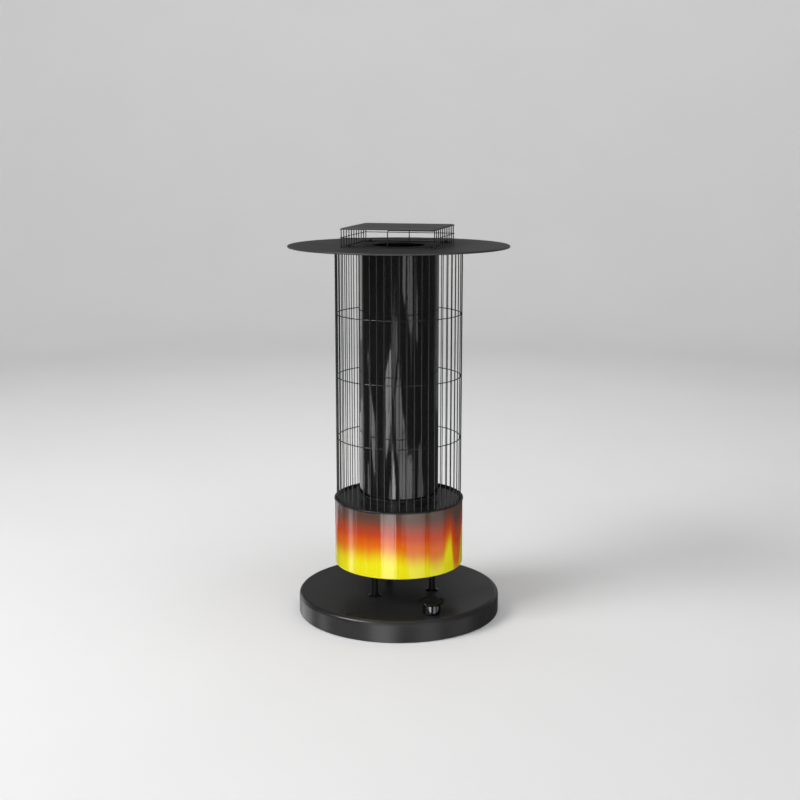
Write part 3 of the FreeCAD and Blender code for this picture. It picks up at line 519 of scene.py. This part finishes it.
# The disc carries painted shade on the flue's cut edge
def deflector_black():
    coat("deflector_black", 0.038, shine=0.42, grain_scale=800.0, grain_depth=0.03 * MM, painted_shade=flue_edge_shade)


def guard_plate_grey():
    coat("guard_plate_grey", tone=0.085, shine=0.45, grain_scale=800.0, grain_depth=0.03 * MM)


def guard_black():
    coat("guard_black", tone=0.006, shine=0.35, grain_scale=1500.0, grain_depth=0.02 * MM)


def cage_black():
    finish = coat("cage_black", tone=0.005, shine=0.2, grain_scale=1500.0, grain_depth=0.02 * MM)
    finish.set(IOR=1.8)


def leg_gloss():
    coat("leg_gloss", tone=0.006, shine=0.14, grain_scale=700.0, grain_depth=0.01 * MM)


# The drum's black parts carry painted shade on the ring under the flue
def drum_black():
    coat("drum_black", tone=0.014, shine=0.24, grain_scale=900.0, grain_depth=0.02 * MM, painted_shade=flue_ring_shade)


paints = (base_paint, deflector_black, guard_plate_grey, guard_black, cage_black, leg_gloss, drum_black)
for paint in paints:
    paint()
print("painted metal", len(finishes))

# %% [markdown]
# ## Flame print
# The drum carries a glossy print of flames: yellow at the foot, then orange and red, and nearly
# black at the top, with tongues that lick upward. A picture could be wrapped round it.
# A formula does it without one: tongues at chosen angles and a streaky noise lift the colours,
# the low ones more than the high ones, and the height above that lift picks the colour. Fine
# upright lines in the varnish feather what it mirrors, and the glass has such lines too.

# %% Flame print
YELLOW = (0.82, 0.75, 0.004, 1.0)
ORANGE = (0.69, 0.145, 0.002, 1.0)
RED = (0.56, 0.05, 0.004, 1.0)
BROWN = (0.09, 0.05, 0.037, 1.0)
# Where one colour turns to the next, as shares of the band's height
TO_ORANGE = (0.16, 0.50)
TO_RED = (0.44, 0.68)
TO_BROWN = (0.54, 0.96)
# How far the lift moves the two upper turns
RED_LIFT = 0.6
BROWN_LIFT = 0.3
LICK_LIFT = 0.08
STREAK_LIFT = 0.10
# Noise per metre, and how it is drawn out upward
LICK_SCALE = 26.0
LICK_STRETCH = (1.0, 1.0, 0.3)
STREAK_SCALE = 260.0
STREAK_STRETCH = (1.0, 1.0, 0.05)
LINE_SCALE = 340.0
LINE_STRETCH = (1.0, 1.0, 0.02)
# Angle in degrees from the right of the heater, half width in degrees, and lift
TONGUES = (
    (-141, 20, -0.06), (-90, 14, 0.03), (-54, 22, -0.07), (-38, 14, -0.10), (-26, 8, 0.18), (-11, 13, -0.36),
    (4, 14, 0.25), (32, 18, -0.16), (61, 12, 0.22), (95, 22, -0.12), (128, 11, 0.24), (158, 16, -0.18),
)


def upright_lines(finish):
    """Fine lines that run up a piece, about 0 to 1."""
    return finish.place.stretched(*LINE_STRETCH).noise(LINE_SCALE)


def drum_print():
    finish = Finish("drum_print")
    x, y, z = finish.place.split()
    height = (z - drum_low) / (drum_high - drum_low)
    lick = finish.place.stretched(*LICK_STRETCH).noise(LICK_SCALE, detail=2.0) - 0.5
    streak = finish.place.stretched(*STREAK_STRETCH).noise(STREAK_SCALE, detail=2.0) - 0.5
    lift = LICK_LIFT * lick + STREAK_LIFT * streak
    for angle, half_width, reach in TONGUES:
        turn = math.radians(angle)
        facing = (x * math.cos(turn) + y * math.sin(turn)) / drum_radius
        lift = lift + reach * facing.rise(math.cos(math.radians(half_width)), 1.0)
    colour = (height - lift).rise(*TO_ORANGE).blend(YELLOW, ORANGE)
    colour = (height - RED_LIFT * lift).rise(*TO_RED).blend(colour, RED)
    colour = (height - BROWN_LIFT * lift).rise(*TO_BROWN).blend(colour, BROWN)
    lines = upright_lines(finish)
    finish.set(Base_Color=colour, Roughness=0.05 + 0.3 * lines.rise(0.45, 0.75), IOR=1.7)
    finish.set(Normal=lines.bump(0.16 * MM))
    finishes["drum_print"] = finish


drum_print()
print("tongues of flame", len(TONGUES))

# %% [markdown]
# ## Glass
# The tube is smoked so dark that only its reflections and a hint of the elements show, and the
# quartz sleeves inside are milky. Clear glass would show the reflector too plainly.
# The tube lets a small share of light straight through, and fine upright drawing lines in the
# glass feather what it mirrors.

# %% Glass
MILK_SCALE = 160.0
MILK_STRETCH = (1.0, 1.0, 0.1)


def smoked_glass():
    finish = Finish("smoked_glass")
    lines = upright_lines(finish)
    finish.set(Base_Color=lines.blend(grey(0.004), grey(0.008)))
    finish.set(Roughness=0.04 + 0.2 * lines.rise(0.5, 0.75), IOR=1.65)
    finish.set(Normal=lines.bump(0.08 * MM), Alpha=0.90 + 0.06 * lines)
    finishes["smoked_glass"] = finish


def quartz_glass():
    finish = Finish("quartz_glass")
    milk = finish.place.stretched(*MILK_STRETCH).noise(MILK_SCALE, detail=4.0)
    finish.set(Base_Color=milk.blend(grey(0.62), (0.80, 0.78, 0.74, 1.0)))
    finish.set(Roughness=0.12 + 0.2 * milk, Alpha=0.45 + 0.3 * milk)
    finishes["quartz_glass"] = finish


smoked_glass()
quartz_glass()
print("finishes with the glass", len(finishes))

# %% [markdown]
# ## Metal recipe
# Bare metal mirrors its surroundings in its own colour. A perfect mirror would look like a toy.
# So the recipe adds fine scratches that run one way and dark stains where the metal has
# tarnished.

# %% Metal recipe
STAIN_SCALE = 45.0
STAIN_SHEEN = 0.08
SCRATCH_SHEEN = 0.15
# How noise is stretched so that scratches run every way, round an upright axis, across, or upright
EVERY_WAY = (1, 1, 1)
ROUND = (1, 1, 8)
ACROSS = (1, 6, 1)
UPRIGHT = (1, 1, 0.05)


def metal(slot, colour, shine, run, scratch_scale, scratch_depth, tarnish):
    """Bare metal: colour, roughness, the way its scratches run, and how far it darkens."""
    finish = Finish(slot)
    scratches = finish.place.stretched(*run).noise(scratch_scale, detail=2.0)
    stain = finish.place.noise(STAIN_SCALE, detail=4.0).rise(0.45, 0.75)
    darker = tuple(tarnish * part for part in colour)
    finish.set(Metallic=1.0, Base_Color=stain.blend((*colour, 1.0), (*darker, 1.0)))
    finish.set(Roughness=shine + SCRATCH_SHEEN * (scratches - 0.5) + STAIN_SHEEN * stain)
    finish.set(Normal=scratches.bump(scratch_depth))
    finishes[slot] = finish


print("stains per metre", STAIN_SCALE)

# %% [markdown]
# ## Bare metal
# The knob is dark polished chrome, and inside there are zinc-plated plates and nuts, brass
# contacts, a steel shaft, a bright reflector, coiled resistance wire and an iron weight.
# All of them share the recipe and differ in colour, shine and scratches.

# %% Bare metal


def knob_chrome():
    chrome = (0.13, 0.13, 0.135)
    metal("knob_chrome", chrome, 0.1, ROUND, scratch_scale=300.0, scratch_depth=0.004 * MM, tarnish=0.85)


def zinc_steel():
    zinc = (0.60, 0.61, 0.62)
    metal("zinc_steel", zinc, 0.38, EVERY_WAY, scratch_scale=500.0, scratch_depth=0.01 * MM, tarnish=0.75)


def contact_brass():
    brass = (0.72, 0.52, 0.22)
    metal("contact_brass", brass, 0.3, ACROSS, scratch_scale=500.0, scratch_depth=0.01 * MM, tarnish=0.7)


def shaft_steel():
    steel = (0.58, 0.58, 0.59)
    metal("shaft_steel", steel, 0.28, ROUND, scratch_scale=500.0, scratch_depth=0.01 * MM, tarnish=0.8)


def coil_wire():
    oxide = (0.30, 0.27, 0.25)
    metal("coil_wire", oxide, 0.5, EVERY_WAY, scratch_scale=900.0, scratch_depth=0.02 * MM, tarnish=0.6)


def reflector_aluminium():
    slot = "reflector_aluminium"
    sheet = (0.80, 0.81, 0.82)
    metal(slot, sheet, 0.2, UPRIGHT, scratch_scale=400.0, scratch_depth=0.01 * MM, tarnish=0.85)


def ballast_iron():
    iron = (0.16, 0.15, 0.15)
    metal("ballast_iron", iron, 0.62, EVERY_WAY, scratch_scale=250.0, scratch_depth=0.2 * MM, tarnish=0.55)


metals = (
    knob_chrome, zinc_steel, contact_brass, shaft_steel, coil_wire, reflector_aluminium, ballast_iron,
)
for bare in metals:
    bare()
print("bare metals", len(metals))

# %% [markdown]
# ## Dull recipe
# Rubber, moulded plastic, ceramic and fibre hardly shine. A plain colour would look painted on.
# So the recipe mottles the colour a little and gives it a rough grain.

# %% Dull recipe
PATCH_SCALE = 60.0
DULL_SHEEN = 0.12


def dull(slot, colour, shine, grain_scale, grain_depth, mottle):
    """A dull stuff: colour, roughness, grain per metre, grain depth and how mottled it is."""
    finish = Finish(slot)
    patches = finish.place.noise(PATCH_SCALE, detail=4.0)
    grain = finish.place.noise(grain_scale)
    low = tuple((1 - mottle) * part for part in colour)
    high = tuple((1 + mottle) * part for part in colour)
    finish.set(Base_Color=patches.blend((*low, 1.0), (*high, 1.0)))
    finish.set(Roughness=shine + DULL_SHEEN * (grain - 0.5))
    finish.set(Normal=grain.bump(grain_depth))
    finishes[slot] = finish
    return finish


print("patches per metre", PATCH_SCALE)

# %% [markdown]
# ## Plastic, rubber, ceramic and fibre
# The feet are rubber, the inlet and the switches are moulded plastic, the leads have a woven
# sleeve, and the elements sit in unglazed ceramic with fibre gaskets at the tube's ends.
# They share the recipe. The sleeve adds its crossing threads, and the knob's cap the fine rings
# that a lathe leaves.

# %% Plastic, rubber, ceramic and fibre
# Radians of a wave per metre
THREADS = 2600.0
LATHE_RINGS = 9000.0


def foot_rubber():
    rubber = (0.022, 0.022, 0.022)
    dull("foot_rubber", rubber, shine=0.75, grain_scale=600.0, grain_depth=0.08 * MM, mottle=0.2)


def inlet_plastic():
    black = (0.018, 0.018, 0.019)
    dull("inlet_plastic", black, shine=0.45, grain_scale=1200.0, grain_depth=0.03 * MM, mottle=0.1)


def plunger_plastic():
    white = (0.66, 0.66, 0.62)
    dull("plunger_plastic", white, shine=0.4, grain_scale=900.0, grain_depth=0.02 * MM, mottle=0.06)


def element_ceramic():
    cream = (0.72, 0.68, 0.60)
    dull("element_ceramic", cream, shine=0.7, grain_scale=700.0, grain_depth=0.06 * MM, mottle=0.08)


def gasket_fibre():
    soot = (0.022, 0.021, 0.020)
    dull("gasket_fibre", soot, shine=0.85, grain_scale=1500.0, grain_depth=0.2 * MM, mottle=0.15)


def lead_insulation():
    dark = (0.055, 0.052, 0.05)
    finish = dull("lead_insulation", dark, shine=0.7, grain_scale=1500.0, grain_depth=0.05 * MM, mottle=0.2)
    x, y, z = finish.place.split()
    weave = ((x + y + z) * THREADS).sine() * ((x + y - z) * THREADS).sine()
    finish.set(Normal=weave.bump(0.1 * MM))


def knob_face():
    black = (0.010, 0.010, 0.010)
    finish = dull("knob_face", black, shine=0.2, grain_scale=900.0, grain_depth=0.01 * MM, mottle=0.1)
    rings = (finish.place.from_axis(knob_middle.x, knob_middle.y) * LATHE_RINGS).sine()
    finish.set(Roughness=0.2 + 0.05 * rings, Normal=rings.bump(0.003 * MM))


dull_stuffs = (
    foot_rubber, inlet_plastic, plunger_plastic, element_ceramic, gasket_fibre, lead_insulation, knob_face,
)
for stuff in dull_stuffs:
    stuff()
print("finishes", len(finishes))

# %% [markdown]
# ## Finishes on the pieces
# The record of the part says which finish each CAD piece takes, and the pieces added here carry
# the same names. Each could be painted by hand.
# A loop reads the record and gives every piece the finish of that name.

# %% Finishes on the pieces
for row in frame["record"]["subparts"]:
    paint_on = nodes[row["node"]].data.materials
    paint_on.clear()
    paint_on.append(finishes[row["material_slot"]].material)
added = {tube: "smoked_glass", drum: "drum_print", knob_piece: "knob_chrome", cage_welds: "cage_black"}
for piece, slot_name in added.items():
    piece.data.materials.clear()
    piece.data.materials.append(finishes[slot_name].material)

# %% [markdown]
# ## Studio
# A plain pale floor runs up into a round wall behind and beside the heater, so that no edge
# shows from any side. A flat backdrop would stand in the way of a camera at the back.
# The floor and wall are one turned sheet with a wide curve between them.

# %% Studio
FLOOR_RADIUS = 2.6
SWEEP_ROUND = 1.2
WALL_HEIGHT = 3.2
SWEEP_STEPS = 12
STUDIO_SEGMENTS = 96
PAPER_SCALE = 3.0

sweep = [(FLOOR_RADIUS, 0.0)]
for step in range(1, SWEEP_STEPS + 1):
    bend = math.pi / 2 * step / SWEEP_STEPS
    sweep.append((FLOOR_RADIUS + SWEEP_ROUND * math.sin(bend), SWEEP_ROUND * (1 - math.cos(bend))))
sweep.append((FLOOR_RADIUS + SWEEP_ROUND, WALL_HEIGHT))

bpy.ops.object.select_all(action="DESELECT")
bpy.ops.mesh.primitive_circle_add(vertices=STUDIO_SEGMENTS, radius=FLOOR_RADIUS, fill_type="NGON")
studio = bpy.context.object
studio.name = "studio"
bpy.ops.object.mode_set(mode="EDIT")
bpy.ops.mesh.select_all(action="SELECT")
bpy.ops.mesh.region_to_loop()
studio_radius, studio_height = sweep[0]
for next_radius, next_height in sweep[1:]:
    lift = (0, 0, next_height - studio_height)
    bpy.ops.mesh.extrude_edges_move(TRANSFORM_OT_translate={"value": lift})
    growth = next_radius / studio_radius
    bpy.ops.transform.resize(value=(growth, growth, 1), center_override=(0, 0, next_height))
    studio_radius, studio_height = next_radius, next_height
bpy.ops.mesh.select_all(action="SELECT")
bpy.ops.mesh.normals_make_consistent(inside=True)
bpy.ops.object.mode_set(mode="OBJECT")
bpy.ops.object.shade_smooth()
studio_finish = Finish("studio_paper")
paper = studio_finish.place.noise(PAPER_SCALE)
studio_finish.set(Base_Color=paper.blend(grey(0.88), grey(0.92)), Roughness=0.75 + 0.1 * paper)
studio.data.materials.append(studio_finish.material)
studio.visible_glossy = False
print("studio sweep", len(studio.data.polygons), "faces")

# %% [markdown]
# ## Light
# The heater is lit by a large soft box high on the left, so its shadow falls softly to the
# right, and by fill boxes above and in front. Two more boxes light the floor and the wall behind
# it. Bare lamps would make hard spots.
# Every box is an area light turned to its aim, and angles are counted from the camera, to the
# right. The front box stands so low that it would burn out the floor, so its light is kept off it.

# %% Light
CAMERA_TURN = math.radians(13.5)
WORLD_LEVEL = 0.06


def around_heater(angle, distance, height):
    """A point round the heater, at an angle from the camera to the right."""
    turn = CAMERA_TURN + math.radians(angle)
    return Vector((distance * math.sin(turn), -distance * math.cos(turn), height))


def box(name, place, aim, side, radiance, mirrored=True):
    """A square soft light of even radiance, turned to its aim; glossy surfaces may mirror it."""
    light = bpy.data.lights.new(name, "AREA")
    light.shape = "SQUARE"
    light.size = side
    light.energy = radiance * math.pi * side * side
    lamp = bpy.data.objects.new(name, light)
    bpy.context.scene.collection.objects.link(lamp)
    lamp.location = place
    lamp.rotation_euler = (aim - place).to_track_quat("-Z", "Y").to_euler()
    lamp.visible_camera = False
    lamp.visible_glossy = mirrored
    return lamp


def link_light(lamp, piece, state):
    """Let a lamp light one piece alone, INCLUDE, or every piece but that one, EXCLUDE."""
    receivers = bpy.data.collections.new(lamp.name + " receivers")
    receivers.objects.link(piece)
    receivers.collection_objects[0].light_linking.link_state = state
    lamp.light_linking.receiver_collection = receivers


heater_middle = Vector((0, 0, 0.28))
wall_middle = around_heater(180, distance=3.8, height=0.7)
floor_right = around_heater(40, distance=1.2, height=0)
key_place = around_heater(-62, distance=2.0, height=1.9)
box("key box", key_place, heater_middle, side=1.2, radiance=9.8)
top_place = around_heater(20, distance=0.3, height=2.6)
box("top box", top_place, heater_middle, side=1.8, radiance=0.9)
front_place = around_heater(14, distance=2.4, height=0.55)
front_box = box("front box", front_place, heater_middle, side=1.2, radiance=6.0, mirrored=False)
floor_place = around_heater(40, distance=1.3, height=2.6)
floor_box = box("floor box", floor_place, floor_right, side=2.0, radiance=1.4, mirrored=False)
link_light(front_box, studio, "EXCLUDE")
link_light(floor_box, studio, "INCLUDE")
wall_place = around_heater(180, distance=0.9, height=2.4)
box("wall box", wall_place, wall_middle, side=1.6, radiance=2.5)

world = bpy.context.scene.world or bpy.data.worlds.new("studio light")
bpy.context.scene.world = world
world.use_nodes = True
world.node_tree.nodes["Background"].inputs["Color"].default_value = grey(WORLD_LEVEL)
world.node_tree.nodes["Background"].inputs["Strength"].default_value = 1.0
print("lights", len(bpy.data.lights))

# %% [markdown]
# ## Light bars
# The drum, the tube and the knob mirror tapered bright bars that stand and lean in dark
# surroundings, wider at the foot. The surfaces are upright and seen from above, so they mirror
# what lies low, and the bars reach below the floor.
# Each bar is a chain of flat blades with level ends that only reflections see, so it doesn't
# change the light on the heater.

# %% Light bars
BAR_DISTANCE = 2.0
BAR_FLATNESS = 0.02


def blade(foot_end, head_end, radiance):
    """A flat blade between two level ends: angle from the camera, height, half width in degrees."""
    foot_angle, foot_height, foot_half = foot_end
    head_angle, head_height, head_half = head_end
    foot = around_heater(foot_angle, BAR_DISTANCE, foot_height)
    head = around_heater(head_angle, BAR_DISTANCE, head_height)
    turn = CAMERA_TURN + math.radians((foot_angle + head_angle) / 2)
    rise = Matrix.Rotation(-turn, 3, "Z") @ (head - foot)
    foot_width = BAR_DISTANCE * math.sin(math.radians(foot_half))
    growth = math.sin(math.radians(head_half)) / math.sin(math.radians(foot_half))
    bpy.ops.object.select_all(action="DESELECT")
    bpy.ops.mesh.primitive_circle_add(vertices=4, radius=foot_width)
    piece = bpy.context.object
    bpy.ops.object.mode_set(mode="EDIT")
    bpy.ops.mesh.select_all(action="SELECT")
    bpy.ops.transform.resize(value=(1, BAR_FLATNESS, 1), center_override=(0, 0, 0))
    bpy.ops.mesh.extrude_region_move(TRANSFORM_OT_translate={"value": rise})
    bpy.ops.transform.resize(value=(growth, growth, 1), center_override=rise)
    bpy.ops.object.mode_set(mode="OBJECT")
    piece.rotation_euler = (0, 0, turn)
    piece.location = foot
    finish = Finish("bar_light")
    finish.set(Base_Color=grey(0.0), Emission_Color=grey(1.0), Emission_Strength=radiance)
    finish.material.cycles.emission_sampling = "NONE"
    piece.data.materials.append(finish.material)
    for kind in ("camera", "diffuse", "transmission", "volume_scatter", "shadow"):
        setattr(piece, "visible_" + kind, False)


def bar(radiance, *ends):
    """A chain of blades from end to end, upward."""
    for foot_end, head_end in zip(ends, ends[1:]):
        blade(foot_end, head_end, radiance)


print("bars stand", BAR_DISTANCE, "metres from the heater")

# %% [markdown]
# ## Bars for the drum, the knob and the base
# The varnished drum mirrors a few broad upright bars, and the knob squeezes the same bars into
# thin stripes. Lamps could make such highlights, but they would also light the floor.
# These bars lie below those that the tube mirrors. Two more stand high in front, for the knob's
# foot, and two dim ones behind, for the level faces.

# %% Bars for the drum, the knob and the base
bar(2.6, (-18, -1.60, 13), (-18, -0.60, 13))
bar(2.5, (-18, -0.60, 13), (-18.5, -0.38, 13.5))
bar(1.0, (36, -1.60, 13), (33, -0.60, 13))
bar(0.9, (33, -0.60, 13), (24, -0.38, 22))
bar(0.5, (72, -1.20, 15), (72, -0.38, 15))
bar(1.7, (-90, -1.20, 9), (-95, -0.38, 6))
bar(1.1, (-56, -0.90, 22), (-56, -0.64, 22))
bar(1.4, (-132, -0.90, 20), (-132, -0.62, 20))
bar(0.8, (-152, -0.46, 6), (-150, -0.38, 10))
bar(0.45, (-160, -1.20, 12), (-160, -0.46, 12))
# High in front, mirrored by the base into the knob's foot
bar(4.0, (-18, 0.55, 13), (-18, 1.00, 13))
bar(2.0, (33, 0.55, 12), (33, 1.00, 12))
# Behind the heater, mirrored by its level faces
bar(0.17, (-150, -0.10, 30), (-150, 1.20, 30))
bar(0.25, (150, -0.10, 30), (150, 1.20, 30))
print("bars for the drum ready")

# %% [markdown]
# ## Bars for the tube
# The dark tube shows slim, leaning highlights that swell and taper, like blades of grass. Upright
# bars of one width would look like printed stripes.
# So each bar is a chain of ends that lean and change their width from one height to the next.

# %% Bars for the tube
# The lens on the left and the foot below it
bar(2.1, (-75, -0.275, 3), (-80.5, -0.13, 9.5), (-89, -0.04, 3.7), (-98, 0.085, 0.7))
bar(1.1, (-97, -0.37, 6), (-99, -0.25, 1))
# The wide blade left of the middle and the slim one above it
bar(3.0, (-37, -0.235, 0.7), (-29.3, -0.11, 8.7), (-29.8, 0.02, 8.2), (-23, 0.10, 1))
bar(1.2, (-16, -0.03, 1), (-10.5, 0.10, 7.3), (-10.5, 0.19, 6.5))
bar(4.8, (-14.5, -0.37, 6.5), (-16.7, -0.18, 0.5))
bar(1.2, (-26, -0.37, 5), (-24, -0.29, 0.5))
# The tall fan right of the middle
bar(1.9, (22, -0.37, 22), (20, -0.25, 22), (11.5, -0.23, 16.5))
bar(1.5, (11.5, -0.23, 16.5), (4, -0.15, 14))
bar(1.8, (4, -0.15, 14), (-1.3, -0.067, 9.4), (0, 0.06, 0.5))
bar(0.9, (66, -0.37, 11), (63.5, -0.19, 4))
# The short bars high on the right
bar(1.4, (17, 0.235, 1), (15, 0.27, 4), (15, 0.50, 4.5))
bar(1.3, (36, 0.145, 4), (31.5, 0.20, 7.5), (31, 0.50, 7.5))
bar(1.1, (53, 0.125, 2), (51, 0.15, 3.5), (50, 0.27, 4.5))
# The broad light at the far left
bar(1.3, (-135, -0.37, 20), (-137, -0.06, 17))
bar(0.5, (-140, -0.06, 15), (-140, 0.12, 15))
bar(1.3, (-140, 0.12, 14), (-140, 0.50, 15))
print("blades", sum(material.name.startswith("bar_light") for material in bpy.data.materials))

# %% [markdown]
# ## Camera
# The heater is seen from a little above and from the right of its front. The lens, height and
# distance were fitted to the edges of the base, the drum and the disc.
# The camera is set straight from those figures, with no further aiming.

# %% Camera
CAMERA_DISTANCE = 1.8751
CAMERA_HEIGHT = 0.6832
CAMERA_ASIDE = 0.0018
CAMERA_PITCH = math.radians(78.979)
CAMERA_LENS = 58.70
SENSOR = 36.0

camera_data = bpy.data.cameras.new("photo view")
camera_data.lens = CAMERA_LENS
camera_data.sensor_width = SENSOR
camera = bpy.data.objects.new("photo view", camera_data)
bpy.context.scene.collection.objects.link(camera)
from_front = Vector((CAMERA_ASIDE, -CAMERA_DISTANCE, CAMERA_HEIGHT))
camera.location = Matrix.Rotation(CAMERA_TURN, 3, "Z") @ from_front
camera.rotation_euler = (CAMERA_PITCH, 0, CAMERA_TURN)
bpy.context.scene.camera = camera
bpy.context.scene.view_settings.view_transform = "Standard"
print("camera at", [round(part, 4) for part in camera.location])
